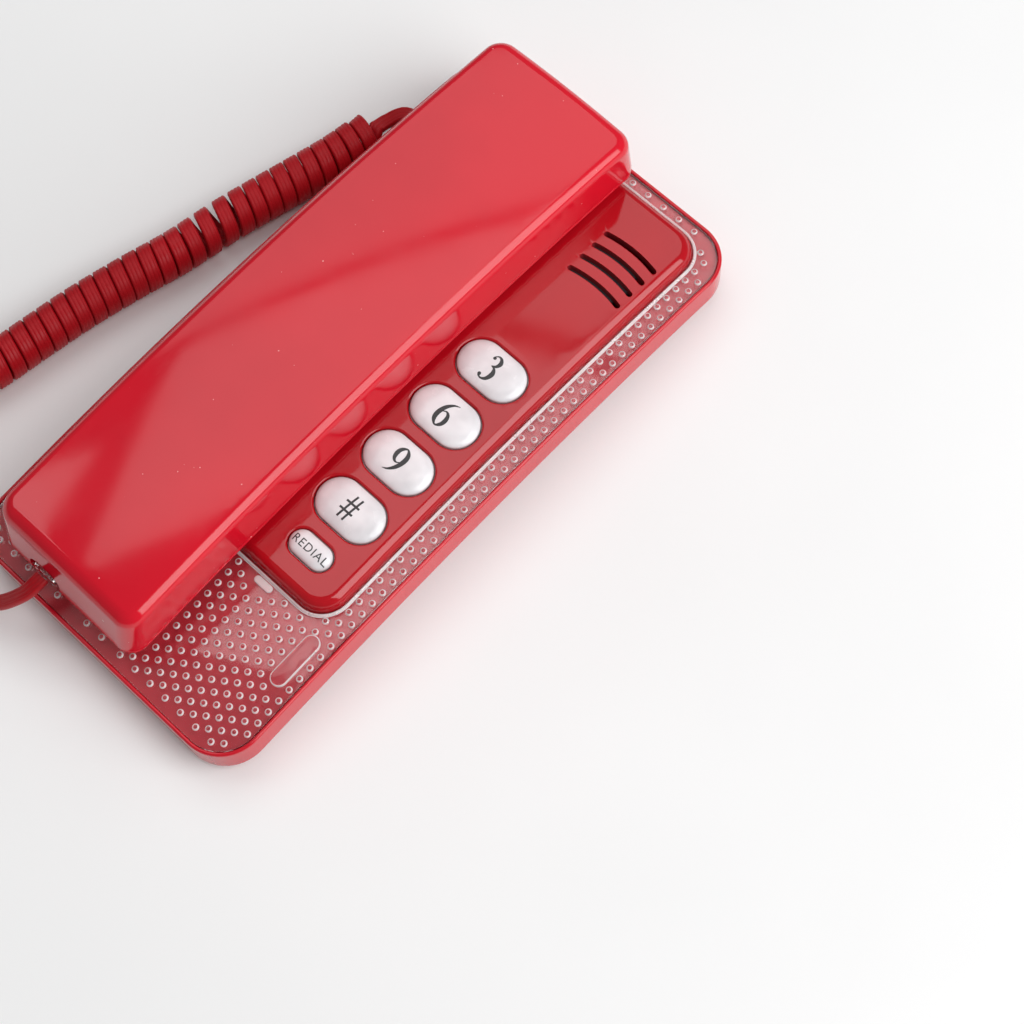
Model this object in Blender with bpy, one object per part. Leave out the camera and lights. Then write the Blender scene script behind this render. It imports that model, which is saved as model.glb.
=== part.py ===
"""Slimline wall phone: a red base tray with a clear dimpled cover, a raised keypad plate,
a slim handset in its cradle and a curly cord. +X is the phone's right, +Y points to its
earpiece end, +Z comes out of its front. The phone lies on its back on four feet at z = 0.
"""
import math

import bmesh
import bpy
from mathutils import Vector

MM = 0.001  # the lists below are in millimetres

# Driving dimensions, in millimetres. Heights are those of the middle of the phone (y = 0):
# every moulded piece then follows the body's gentle lengthwise arch.
ARCH = 6.0              # how far the body has dropped 100 mm from its middle
STATION = 14.5          # spacing of the cross-sections that carry the arch
GAP = 0.3               # clearance between pieces that meet
WALL = 1.8

BASE_W, BASE_L, BASE_R = 100.0, 203.0, 13.0
Z_BACK, Z_FLOOR, Z_RIM = 7.5, 9.3, 19.0
Z_DECK_LOW, Z_DECK = 15.6, 17.0
Z_COVER_LOW, Z_COVER = 17.3, 18.9
INSET_W, INSET_L, INSET_R = 97.0, 200.0, 11.5       # deck and clear cover, inside the rim

FACE_W, FACE_L, FACE_R = 83.6, 150.5, 8.5           # raised keypad plate
FACE_Y = 20.0
Z_FACE = 23.0

KEY_COLUMNS = (-25.9, 0.0, 25.9)
KEY_ROWS = (26.1, 7.9, -10.2, -28.4)
KEY_W, KEY_H = 21.3, 13.4
SMALL_ROW = -43.4
SMALL_W, SMALL_H = 13.7, 7.2
KEY_FIT = 0.4                                       # clearance round a key
Z_KEY_LOW, Z_KEY_FLANGE, Z_KEY = 19.9, 20.8, 24.2

CRADLE_X = -11.8                                    # handset cradle and its two caps
CRADLE_Y, CRADLE_W, CRADLE_L, CRADLE_R = 60.3, 45.8, 47.4, 11.0
Z_CRADLE = 17.5
MOUTH_Y = -78.0
HOOK_X, HOOK_Y, HOOK_W, HOOK_L = -12.0, 58.0, 12.8, 10.0
SLOT_X, SLOT_LENGTH, SLOT_WIDTH, SLOT_BOW = 29.7, 21.2, 2.0, 0.9
SLOT_ROWS = (64.5, 69.5, 74.5, 79.4)

HANDSET_X, HANDSET_W, HANDSET_R = -12.8, 51.6, 5.6
HANDSET_Y, HANDSET_L = 1.8, 196.4
Z_HANDSET_LOW, Z_SEAM, Z_HANDSET_EDGE, Z_HANDSET_TOP = 25.3, 26.9, 39.5, 44.3
EAR_R, Z_EAR = 18.0, 17.8
MOUTH_R, Z_MOUTH = 16.0, 17.4

FOOT_R, FOOT_H = 5.5, 1.9
FOOT_PLACES = ((-38.0, -88.0), (38.0, -88.0), (-38.0, 88.0), (38.0, 88.0))
SCREW_PLACES = ((-43.2, -67.0), (43.2, -67.0), (-43.2, 50.0), (43.2, 50.0))
HANDSET_SCREW_Y = (-44.0, 32.0)
GRIP_Y = (-51.0, 37.0)                              # ends of the grip between the capped ends
KEYHOLE_Y = (-60.0, 40.0)

CORD_X, CORD_Z = -20.3, 29.4                        # cord socket in the handset's lower end
JACK_Y, JACK_Z = 73.0, 12.45                        # cord socket in the base's left side
LINE_X = 22.0                                       # line socket in the base's upper end
CORD_R = 2.2
COIL_R = 6.75

# Routes of the handset cord in world coordinates: from the handset, round to the coil,
# along the table beside the phone, and into the base's left side.
TAIL_ROUTE = ((-20.3, -96.9, 23.9), (-20.4, -99.6, 23.4), (-22.2, -103.6, 20.2), (-27.6, -108.7, 13.8),
              (-34.0, -111.5, 8.8), (-43.0, -114.3, 4.8), (-54.0, -115.8, 3.2), (-65.0, -114.4, 3.0),
              (-75.0, -110.2, 4.0), (-81.8, -105.2, 5.6), (-84.6, -101.4, 6.4), (-85.9, -99.3, 6.7))
COIL_ROUTE = ((-86.3, -98.4, 6.8), (-89.6, -89.0, 6.8), (-88.4, -76.0, 6.8), (-84.6, -64.0, 6.8),
              (-82.0, -48.0, 6.8), (-79.6, -34.0, 6.8), (-76.0, -18.3, 6.8), (-71.9, -2.9, 6.8),
              (-68.4, 15.1, 6.8), (-62.9, 37.1, 6.8), (-59.7, 50.5, 6.8), (-57.6, 65.0, 6.8))
BASE_ROUTE = ((-57.5, 65.6, 6.8), (-56.6, 68.2, 7.2), (-55.3, 70.6, 8.2), (-53.6, 72.3, 9.0),
              (-51.5, 73.0, 9.3))

MATERIALS = {
    "red_shell": ((0.62, 0.010, 0.018), 0.22, 0.0),
    "clear_plastic": ((0.92, 0.90, 0.91), 0.08, 0.0),
    "pearl_key": ((0.86, 0.85, 0.88), 0.28, 0.0),
    "red_cord": ((0.50, 0.012, 0.020), 0.45, 0.0),
    "dark_plastic": ((0.05, 0.05, 0.055), 0.5, 0.0),
    "grey_rubber": ((0.30, 0.30, 0.31), 0.8, 0.0),
    "steel": ((0.60, 0.60, 0.60), 0.3, 1.0),
    "circuit_board": ((0.05, 0.25, 0.10), 0.5, 0.0),
}


def new_collection(name):
    collection = bpy.data.collections.new(name)
    bpy.context.scene.collection.children.link(collection)
    return collection


def clear_scene():
    for obj in list(bpy.data.objects):
        bpy.data.objects.remove(obj, do_unlink=True)


def material(name):
    found = bpy.data.materials.get(name)
    if found:
        return found
    colour, roughness, metallic = MATERIALS[name]
    made = bpy.data.materials.new(name)
    made.use_nodes = True
    shader = made.node_tree.nodes["Principled BSDF"]
    shader.inputs["Base Color"].default_value = (*colour, 1.0)
    shader.inputs["Roughness"].default_value = roughness
    shader.inputs["Metallic"].default_value = metallic
    return made


def to_object(name, bm, collection, slot=None):
    """Turn a bmesh in millimetres into a named object in metres."""
    bmesh.ops.recalc_face_normals(bm, faces=bm.faces)
    bmesh.ops.scale(bm, vec=(MM, MM, MM), verts=bm.verts)
    mesh = bpy.data.meshes.new(name)
    bm.to_mesh(mesh)
    bm.free()
    obj = bpy.data.objects.new(name, mesh)
    collection.objects.link(obj)
    if slot:
        mesh.materials.append(material(slot))
    return obj


# ---- outlines and solids ------------------------------------------------------------

def rounded_ring(width, length, radius, z, centre=(0.0, 0.0), arc=4):
    """Points of a rounded rectangle at height z, anticlockwise from its +X side."""
    radius = min(radius, width / 2 - 0.01, length / 2 - 0.01)
    corners = ((1, 1, 0), (-1, 1, 90), (-1, -1, 180), (1, -1, 270))
    points = []
    for sx, sy, start in corners:
        cx = centre[0] + sx * (width / 2 - radius)
        cy = centre[1] + sy * (length / 2 - radius)
        for step in range(arc + 1):
            angle = math.radians(start + 90.0 * step / arc)
            points.append((cx + radius * math.cos(angle), cy + radius * math.sin(angle), z))
    return points


def round_ring(radius, z, centre, sides=24):
    """Points of a circle at height z."""
    angles = [math.tau * step / sides for step in range(sides)]
    return [(centre[0] + radius * math.cos(a), centre[1] + radius * math.sin(a), z) for a in angles]


def loft(name, rings, collection, slot=None):
    """Skin a closed solid over rings of equal point count; the end rings become its caps."""
    bm = bmesh.new()
    rows = [[bm.verts.new(point) for point in ring] for ring in rings]
    count = len(rings[0])
    for low, high in zip(rows, rows[1:]):
        for i in range(count):
            j = (i + 1) % count
            bm.faces.new((low[i], low[j], high[j], high[i]))
    bm.faces.new(list(reversed(rows[0])))
    bm.faces.new(rows[-1])
    return to_object(name, bm, collection, slot)


def block(name, low, high, collection, slot=None, bevel=0.0, along=None, segments=3):
    """A box between two corners; bevel rounds the edges that run along one axis, or all."""
    bm = bmesh.new()
    bmesh.ops.create_cube(bm, size=1.0)
    size = Vector(high) - Vector(low)
    centre = (Vector(high) + Vector(low)) / 2
    bmesh.ops.scale(bm, vec=size, verts=bm.verts)
    bmesh.ops.translate(bm, vec=centre, verts=bm.verts)
    if bevel:
        edges = list(bm.edges)
        if along is not None:
            edges = [e for e in bm.edges if abs((e.verts[1].co - e.verts[0].co).normalized()[along]) > 0.9]
        bmesh.ops.bevel(bm, geom=edges, offset=bevel, offset_type="OFFSET", segments=segments,
                        profile=0.5, affect="EDGES")
    return to_object(name, bm, collection, slot)


def disc(name, centre, radius, z_low, z_high, collection, slot=None, sides=24, edge=0.0):
    """An upright round piece, with a small chamfer at both ends when edge is given."""
    rings = [round_ring(radius, z_low, centre, sides), round_ring(radius, z_high, centre, sides)]
    if edge:
        rings = [round_ring(radius - edge, z_low, centre, sides),
                 round_ring(radius, z_low + edge, centre, sides),
                 round_ring(radius, z_high - edge, centre, sides),
                 round_ring(radius - edge, z_high, centre, sides)]
    return loft(name, rings, collection, slot)


def combine(obj, others, operation):
    """Join or cut obj with each of the others, one after the other, and remove them."""
    for other in others:
        modifier = obj.modifiers.new(operation.lower(), "BOOLEAN")
        modifier.operation = operation
        modifier.solver = "EXACT"
        modifier.object = other
        graph = bpy.context.evaluated_depsgraph_get()
        mesh = bpy.data.meshes.new_from_object(obj.evaluated_get(graph))
        obj.modifiers.clear()
        obj.data = mesh
        bpy.data.objects.remove(other, do_unlink=True)


def follow_arch(obj):
    """Cut the piece at the body's stations and lower each point onto the arch."""
    bm = bmesh.new()
    bm.from_mesh(obj.data)
    bmesh.ops.remove_doubles(bm, verts=bm.verts, dist=1e-6)
    ys = [v.co.y / MM for v in bm.verts]
    for index in range(-8, 9):
        y = index * STATION + 0.13
        if min(ys) < y < max(ys):
            geometry = list(bm.verts) + list(bm.edges) + list(bm.faces)
            bmesh.ops.bisect_plane(bm, geom=geometry, plane_co=(0, y * MM, 0), plane_no=(0, 1, 0),
                                   dist=1e-7)
    bmesh.ops.triangulate(bm, faces=bm.faces)
    for vert in bm.verts:
        vert.co.z -= drop(vert.co.y / MM) * MM
    bmesh.ops.recalc_face_normals(bm, faces=bm.faces)
    bm.to_mesh(obj.data)
    bm.free()
    return obj


def drop(y):
    return ARCH * (y / 100.0) ** 2


def pill(name, width, height, centre, z_low, z_high, collection):
    """A straight-sided solid with fully round ends, used as a cutter or a boss."""
    rings = [rounded_ring(width, height, min(width, height) / 2, z, centre) for z in (z_low, z_high)]
    return loft(name, rings, collection)


# ---- base -----------------------------------------------------------------------------

def make_rear_housing(parts, cutters):
    """Red tray: floor, side walls, a ledge for the deck and a rounded rim lip."""
    def ring(inset, z):
        return rounded_ring(BASE_W - 2 * inset, BASE_L - 2 * inset, BASE_R - inset, z, arc=6)

    rings = [ring(3.2, Z_FLOOR), ring(3.2, Z_DECK_LOW - GAP), ring(1.2, Z_DECK_LOW - GAP),
             ring(1.2, Z_RIM - 0.3), ring(0.7, Z_RIM), ring(0.2, Z_RIM - 0.3), ring(0.0, Z_RIM - 1.0),
             ring(0.0, Z_BACK + 1.5), ring(0.5, Z_BACK + 0.4), ring(1.5, Z_BACK)]
    tray = loft("rear_housing", rings, parts, "red_shell")
    holes = [disc("cut", place, 3.0, Z_BACK - 2, Z_FLOOR + 2, cutters, sides=16) for place in SCREW_PLACES]
    for y in KEYHOLE_Y:
        holes.append(disc("cut", (0.0, y), 4.6, Z_BACK - 2, Z_FLOOR + 2, cutters, sides=20))
        holes.append(pill("cut", 4.6, 16.0, (0.0, y + 6.0), Z_BACK - 2, Z_FLOOR + 2, cutters))
    jack_low = (-BASE_W / 2 - 2, JACK_Y - 4.2, JACK_Z - 2.6)
    jack_high = (-BASE_W / 2 + 4, JACK_Y + 4.2, JACK_Z + 2.6)
    holes.append(block("cut", jack_low, jack_high, cutters))
    line_low = (LINE_X - 5.2, BASE_L / 2 - 4, JACK_Z - 2.6)
    line_high = (LINE_X + 5.2, BASE_L / 2 + 2, JACK_Z + 2.6)
    holes.append(block("cut", line_low, line_high, cutters))
    combine(tray, holes, "DIFFERENCE")
    follow_arch(tray)


def slot_cutter(y, collection):
    """A bowed slot with round ends, higher in its middle than at its ends."""
    steps = 6
    outline = []
    for side in (1, -1):
        for step in range(steps + 1):
            t = side * (1 - 2 * step / steps)
            bow = SLOT_BOW * (1 - t * t)
            outline.append((SLOT_X + t * SLOT_LENGTH / 2, y + bow + side * SLOT_WIDTH / 2))
    rings = [[(px, py, z) for px, py in outline] for z in (Z_FACE - 4.0, Z_FACE + 2.0)]
    return loft("cut", rings, collection)


def make_front_housing(parts, cutters):
    """Red deck with the raised keypad plate, its handset cradle, key openings and slots."""
    def deck(z):
        return rounded_ring(INSET_W, INSET_L, INSET_R, z, arc=6)

    def plate(inset, z):
        return rounded_ring(FACE_W - 2 * inset, FACE_L - 2 * inset, max(FACE_R - inset, 3.0), z,
                            (0.0, FACE_Y), arc=6)

    rings = [plate(4.6, Z_FACE - WALL), plate(2.3, Z_FACE - 3.4), plate(WALL, Z_FACE - 5.0),
             plate(WALL, Z_DECK_LOW), deck(Z_DECK_LOW), deck(Z_DECK), plate(0.0, Z_DECK),
             plate(0.0, Z_FACE - 4.0), plate(0.5, Z_FACE - 2.2), plate(1.6, Z_FACE - 0.8),
             plate(3.2, Z_FACE)]
    front = loft("front_housing", rings, parts, "red_shell")
    centre = (CRADLE_X, CRADLE_Y)
    bowl = loft("join", [rounded_ring(CRADLE_W + 3, CRADLE_L + 3, CRADLE_R + 1.5, z, centre)
                         for z in (Z_CRADLE - 1.6, Z_FACE - 1.0)], cutters)
    combine(front, [bowl], "UNION")
    recess = loft("cut", [rounded_ring(CRADLE_W - 6, CRADLE_L - 6, CRADLE_R - 2, Z_CRADLE, centre),
                          rounded_ring(CRADLE_W - 3, CRADLE_L - 3, CRADLE_R - 1, Z_FACE - 3.0, centre),
                          rounded_ring(CRADLE_W, CRADLE_L, CRADLE_R, Z_FACE, centre),
                          rounded_ring(CRADLE_W, CRADLE_L, CRADLE_R, Z_FACE + 3.0, centre)], cutters)
    holes = [recess]
    holes.append(block("cut", (HOOK_X - HOOK_W / 2 - 0.5, HOOK_Y - HOOK_L / 2 - 1.0, Z_CRADLE - 4),
                       (HOOK_X + HOOK_W / 2 + 0.5, HOOK_Y + HOOK_L / 2 + 1.0, Z_CRADLE + 2), cutters))
    for place, width, height, _ in key_layout():
        holes.append(pill("cut", width + 2 * KEY_FIT, height + 2 * KEY_FIT, place,
                          Z_FACE - 4, Z_FACE + 2, cutters))
    holes += [slot_cutter(y, cutters) for y in SLOT_ROWS]
    combine(front, holes, "DIFFERENCE")
    tongue_y = CRADLE_Y - CRADLE_L / 2
    tongue = block("join", (CRADLE_X - 2.6, tongue_y - 1.0, Z_FACE - 1.7),
                   (CRADLE_X + 2.6, tongue_y + 3.2, Z_FACE - 0.05), cutters)
    combine(front, [tongue], "UNION")
    follow_arch(front)


def make_clear_cover(parts, cutters):
    """Clear frame over the deck, open round the keypad plate and the mouthpiece."""
    def ring(inset, z):
        return rounded_ring(INSET_W - 2 * inset, INSET_L - 2 * inset, INSET_R - inset, z, arc=6)

    cover = loft("clear_cover", [ring(0.0, Z_COVER_LOW), ring(0.0, Z_COVER - 0.5), ring(0.5, Z_COVER)],
                 parts, "clear_plastic")
    window = loft("cut", [rounded_ring(FACE_W + 0.8, FACE_L + 0.8, FACE_R + 0.4, z, (0.0, FACE_Y), arc=6)
                          for z in (Z_COVER_LOW - 2, Z_COVER + 2)], cutters)
    mouth = disc("cut", (CRADLE_X, MOUTH_Y), MOUTH_R + 1.5, Z_COVER_LOW - 2, Z_COVER + 2, cutters, sides=28)
    combine(cover, [window, mouth], "DIFFERENCE")
    bosses = [pill("join", 5.0, 17.0, (side * 43.2 - 0.3, -67.0), Z_COVER_LOW + 0.6, Z_COVER + 0.8, cutters)
              for side in (-1, 1)]
    combine(cover, bosses, "UNION")
    follow_arch(cover)


def key_layout():
    """Centre, width, height and name of each of the fifteen keys."""
    names = (("1", "2", "3"), ("4", "5", "6"), ("7", "8", "9"), ("star", "0", "hash"))
    for row, row_names in zip(KEY_ROWS, names):
        for column, name in zip(KEY_COLUMNS, row_names):
            yield (column, row), KEY_W, KEY_H, "key_" + name
    for column, name in zip(KEY_COLUMNS, ("mute", "pause", "redial")):
        yield (column, SMALL_ROW), SMALL_W, SMALL_H, "key_" + name


def make_key(place, width, height, name, parts):
    """A domed pill key with a flange that keeps it under the plate."""
    def ring(grow, z):
        return rounded_ring(width + 2 * grow, height + 2 * grow, height / 2 + grow, z, place)

    rings = [ring(0.9, Z_KEY_LOW), ring(0.9, Z_KEY_FLANGE), ring(0.0, Z_KEY_FLANGE),
             ring(0.0, Z_FACE), ring(-0.6, Z_KEY - 0.5), ring(-1.7, Z_KEY)]
    follow_arch(loft(name, rings, parts, "pearl_key"))


def make_keypad_inside(parts):
    """Silicone contact mat over the main circuit board."""
    mat = block("keypad_membrane", (-37.5, -50.5, 17.3), (37.5, 33.5, 18.4), parts, "grey_rubber", 2.0, 2)
    board = block("main_circuit_board", (-38.0, -51.5, 15.4), (38.0, 34.2, 17.0), parts, "circuit_board",
                  1.5, 2)
    follow_arch(mat)
    follow_arch(board)


def make_hook(parts):
    """Spring-loaded hook plunger in the cradle floor, over its switch."""
    def ring(grow, z):
        return rounded_ring(HOOK_W + 2 * grow, HOOK_L + 2 * grow, 0.8, z, (HOOK_X, HOOK_Y), arc=2)

    rings = [ring(1.2, 11.6), ring(1.2, 12.4), ring(0.0, 12.4), ring(0.0, Z_EAR - 0.9),
             ring(-0.5, Z_EAR - 0.4)]
    follow_arch(loft("hook_plunger", rings, parts, "red_shell"))
    follow_arch(block("hook_switch", (HOOK_X - 6, HOOK_Y - 4, Z_FLOOR + GAP), (HOOK_X + 6, HOOK_Y + 4, 11.3),
                      parts, "dark_plastic", 0.4, 2))


def make_ringer(parts):
    """Flat piezo ringer under the sound slots."""
    follow_arch(disc("ringer_buzzer", (26.5, 70.0), 9.5, 15.2, Z_FACE - 2.8, parts, "dark_plastic",
                     edge=0.5))


def make_socket(name, low, high, hole_low, hole_high, parts, cutters):
    """A modular cord socket: a block with a rectangular plug opening in one end."""
    body = block(name, low, high, parts, "dark_plastic")
    combine(body, [block("cut", hole_low, hole_high, cutters)], "DIFFERENCE")
    follow_arch(body)


def make_base_sockets(parts, cutters):
    left = -BASE_W / 2 + 3.5
    z_low, z_high = Z_FLOOR + GAP, Z_DECK_LOW - GAP
    make_socket("cord_jack", (left, JACK_Y - 5.2, z_low), (left + 12, JACK_Y + 5.2, z_high),
                (left - 1, JACK_Y - 4.1, JACK_Z - 2.1), (left + 10, JACK_Y + 4.1, JACK_Z + 2.1),
                parts, cutters)
    far = BASE_L / 2 - 3.5
    make_socket("line_jack", (LINE_X - 6.5, far - 13, z_low), (LINE_X + 6.5, far, z_high),
                (LINE_X - 4.9, far - 11, JACK_Z - 2.4), (LINE_X + 4.9, far + 1, JACK_Z + 2.4),
                parts, cutters)


def make_fasteners_and_feet(parts):
    for number, place in enumerate(FOOT_PLACES, 1):
        disc("foot_%d" % number, place, FOOT_R, 0.0, FOOT_H, parts, "grey_rubber", sides=20, edge=0.4)
    for number, place in enumerate(SCREW_PLACES, 1):
        rings = [round_ring(2.6, 7.9, place, 12), round_ring(2.6, 9.0, place, 12),
                 round_ring(1.4, 9.6, place, 12), round_ring(1.4, 15.0, place, 12)]
        follow_arch(loft("case_screw_%d" % number, rings, parts, "steel"))


# ---- handset --------------------------------------------------------------------------

def handset_ring(inset, z, lean=0.0, radius=None):
    """Handset outline at height z; lean draws the lower end in more than the upper end."""
    length = HANDSET_L - 2 * inset - 1.35 * lean
    centre = (HANDSET_X, HANDSET_Y + 0.22 * lean)
    corner = HANDSET_R - inset if radius is None else radius
    return rounded_ring(HANDSET_W - 2 * inset, length, max(corner, 1.5), z, centre)


def cord_opening(cutters):
    """Rounded opening for the cord in the handset's lower end."""
    return block("cut", (CORD_X - 5.7, -104.0, CORD_Z - 3.9), (CORD_X + 5.7, -91.5, CORD_Z + 3.4), cutters,
                 bevel=3.2, along=1)


def make_handset_shells(parts, cutters):
    """Upper shell with a gently domed back, and a lower side of grip and two capped ends."""
    rings = [handset_ring(4.4, Z_HANDSET_EDGE + 2.2, 3.6), handset_ring(WALL + 0.6, Z_HANDSET_EDGE, 3.2),
             handset_ring(WALL, Z_SEAM + GAP), handset_ring(0.0, Z_SEAM + GAP),
             handset_ring(0.1, Z_HANDSET_EDGE, 3.2), handset_ring(0.7, Z_HANDSET_EDGE + 1.9, 4.0, 5.0),
             handset_ring(2.2, Z_HANDSET_EDGE + 3.3, 4.6, 4.5),
             handset_ring(6.0, Z_HANDSET_EDGE + 4.2, 4.8, 4.0),
             handset_ring(13.0, Z_HANDSET_TOP, 4.8, 4.0)]
    upper = loft("handset_upper_shell", rings, parts, "red_shell")
    combine(upper, [cord_opening(cutters)], "DIFFERENCE")
    follow_arch(upper)

    rings = [handset_ring(0.6, Z_HANDSET_LOW), handset_ring(0.0, Z_HANDSET_LOW + 0.6),
             handset_ring(0.0, Z_SEAM)]
    lower = loft("lower", rings, parts, "red_shell")
    ear, mouth = (CRADLE_X, CRADLE_Y), (CRADLE_X, MOUTH_Y)
    caps = [loft("join", [round_ring(EAR_R - 1.2, Z_EAR, ear), round_ring(EAR_R, Z_EAR + 1.2, ear),
                          round_ring(EAR_R, Z_SEAM - 0.5, ear)], cutters),
            loft("join", [round_ring(MOUTH_R - 1.2, Z_MOUTH, mouth),
                          round_ring(MOUTH_R, Z_MOUTH + 1.2, mouth),
                          round_ring(MOUTH_R, Z_SEAM - 0.5, mouth)], cutters)]
    combine(lower, caps, "UNION")
    hollows = [disc("cut", ear, EAR_R - WALL, Z_EAR + 1.6, Z_SEAM + 2, cutters),
               disc("cut", mouth, MOUTH_R - WALL, Z_MOUTH + 1.6, Z_SEAM + 2, cutters)]
    for count, radius in ((1, 0.0), (6, 5.5)):
        for step in range(count):
            angle = math.tau * step / count
            place = (ear[0] + radius * math.cos(angle), ear[1] + radius * math.sin(angle))
            hollows.append(disc("cut", place, 1.1, Z_EAR - 2, Z_EAR + 3, cutters, sides=8))
    for offset in (-4.0, 0.0, 4.0):
        place = (mouth[0] + offset, mouth[1])
        hollows.append(pill("cut", 1.8, 8.0, place, Z_MOUTH - 2, Z_MOUTH + 3, cutters))
    for y in HANDSET_SCREW_Y:
        hollows.append(disc("cut", (HANDSET_X, y), 2.9, Z_HANDSET_LOW - 2, Z_SEAM + 2, cutters, sides=12))
    hollows.append(cord_opening(cutters))
    combine(lower, hollows, "DIFFERENCE")
    limits = (-110.0, *GRIP_Y, 110.0)
    sections = ("handset_mouth_shell", "handset_grip_shell", "handset_ear_shell")
    for name, start, stop in zip(sections, limits, limits[1:]):
        section = bpy.data.objects.new(name, lower.data.copy())
        parts.objects.link(section)
        reach = block("keep", (-60.0, start + GAP / 2, 0.0), (60.0, stop - GAP / 2, 60.0), cutters)
        combine(section, [reach], "INTERSECT")
        follow_arch(section)
    bpy.data.objects.remove(lower)


def make_handset_inside(parts, cutters):
    """Receiver, microphone, balance weight, cord socket and screws of the handset."""
    follow_arch(disc("receiver_capsule", (CRADLE_X, CRADLE_Y), 15.0, Z_EAR + 2.0, Z_SEAM - 1.5, parts,
                     "dark_plastic", edge=0.6))
    follow_arch(disc("microphone_capsule", (CRADLE_X, MOUTH_Y), 5.0, Z_MOUTH + 2.0, Z_MOUTH + 6.5, parts,
                     "steel", sides=20, edge=0.4))
    follow_arch(block("handset_weight", (HANDSET_X - 15, -26, Z_SEAM + GAP),
                      (HANDSET_X + 15, 18, Z_SEAM + 7.5), parts, "steel", 1.0, 2))
    make_socket("handset_jack", (CORD_X - 5.4, -90.8, Z_SEAM + GAP), (CORD_X + 5.4, -79.0, CORD_Z + 4.6),
                (CORD_X - 4.1, -92.0, CORD_Z - 1.9), (CORD_X + 4.1, -81.0, CORD_Z + 3.2), parts, cutters)
    for number, y in enumerate(HANDSET_SCREW_Y, 1):
        place = (HANDSET_X, y)
        rings = [round_ring(2.5, Z_HANDSET_LOW + 0.3, place, 12),
                 round_ring(2.5, Z_HANDSET_LOW + 1.5, place, 12),
                 round_ring(1.3, Z_HANDSET_LOW + 2.1, place, 12),
                 round_ring(1.3, Z_HANDSET_EDGE - 2, place, 12)]
        follow_arch(loft("handset_screw_%d" % number, rings, parts, "steel"))


# ---- cord ------------------------------------------------------------------------------

def smooth_route(points, spacing):
    """Evenly spaced points on a smooth curve through the route's own points."""
    points = [Vector(p) for p in points]
    ends = [2 * points[0] - points[1]] + points + [2 * points[-1] - points[-2]]
    dense = []
    for before, start, stop, after in zip(ends, ends[1:], ends[2:], ends[3:]):
        for step in range(12):
            t = step / 12.0
            dense.append(0.5 * (2 * start + (stop - before) * t
                                + (2 * before - 5 * start + 4 * stop - after) * t * t
                                + (3 * start - before - 3 * stop + after) * t ** 3))
    dense.append(points[-1])
    lengths = [0.0]
    for first, second in zip(dense, dense[1:]):
        lengths.append(lengths[-1] + (second - first).length)
    count = max(2, round(lengths[-1] / spacing))
    spaced, index = [], 0
    for step in range(count + 1):
        target = lengths[-1] * step / count
        while index < len(lengths) - 2 and lengths[index + 1] < target:
            index += 1
        share = (target - lengths[index]) / max(lengths[index + 1] - lengths[index], 1e-9)
        spaced.append(dense[index].lerp(dense[index + 1], min(max(share, 0.0), 1.0)))
    return spaced


def tube(name, route, radius, spacing, resolution, parts, slot):
    """A round tube with filled caps along a smooth route."""
    curve = bpy.data.curves.new(name, "CURVE")
    curve.dimensions = "3D"
    curve.bevel_depth = radius * MM
    curve.bevel_resolution = resolution
    curve.use_fill_caps = True
    points = smooth_route(route, spacing)
    spline = curve.splines.new("POLY")
    spline.points.add(len(points) - 1)
    for target, point in zip(spline.points, points):
        target.co = (*(point * MM), 1.0)
    obj = bpy.data.objects.new(name, curve)
    curve.materials.append(material(slot))
    parts.objects.link(obj)
    return obj


def make_cord(parts):
    """Straight tails, the coil's outer shape and the two plugs of the handset cord."""
    tube("cord_tail_handset", TAIL_ROUTE, CORD_R, 6.0, 2, parts, "red_cord")
    tube("cord_coil", COIL_ROUTE, COIL_R, 12.0, 3, parts, "red_cord")
    tube("cord_tail_base", BASE_ROUTE, CORD_R, 3.0, 2, parts, "red_cord")
    plug = block("cord_plug_handset", (CORD_X - 3.7, -96.0, CORD_Z - 1.5),
                 (CORD_X + 3.7, -82.0, CORD_Z + 2.6), parts, "clear_plastic", 0.5, 1, 1)
    follow_arch(plug)
    left = -BASE_W / 2
    plug = block("cord_plug_base", (left - 0.5, JACK_Y - 3.7, JACK_Z - 1.7),
                 (left + 12, JACK_Y + 3.7, JACK_Z + 1.7), parts, "clear_plastic", 0.5, 0, 1)
    follow_arch(plug)


def main():
    clear_scene()
    parts = new_collection("slimline_wall_phone")
    cutters = new_collection("cutters")
    make_rear_housing(parts, cutters)
    make_front_housing(parts, cutters)
    make_clear_cover(parts, cutters)
    for place, width, height, name in key_layout():
        make_key(place, width, height, name, parts)
    make_keypad_inside(parts)
    make_hook(parts)
    make_ringer(parts)
    make_base_sockets(parts, cutters)
    make_fasteners_and_feet(parts)
    make_handset_shells(parts, cutters)
    make_handset_inside(parts, cutters)
    make_cord(parts)


main()
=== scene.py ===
"""Looks of the slimline wall phone: glossy red shells, a clear dimpled cover, pearl keys and
a curly cord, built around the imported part. Lengths are in millimetres up to to_object.
"""
import math

import bmesh
import bpy
import numpy as np
from mathutils import Matrix, Vector
from mathutils.geometry import delaunay_2d_cdt


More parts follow.
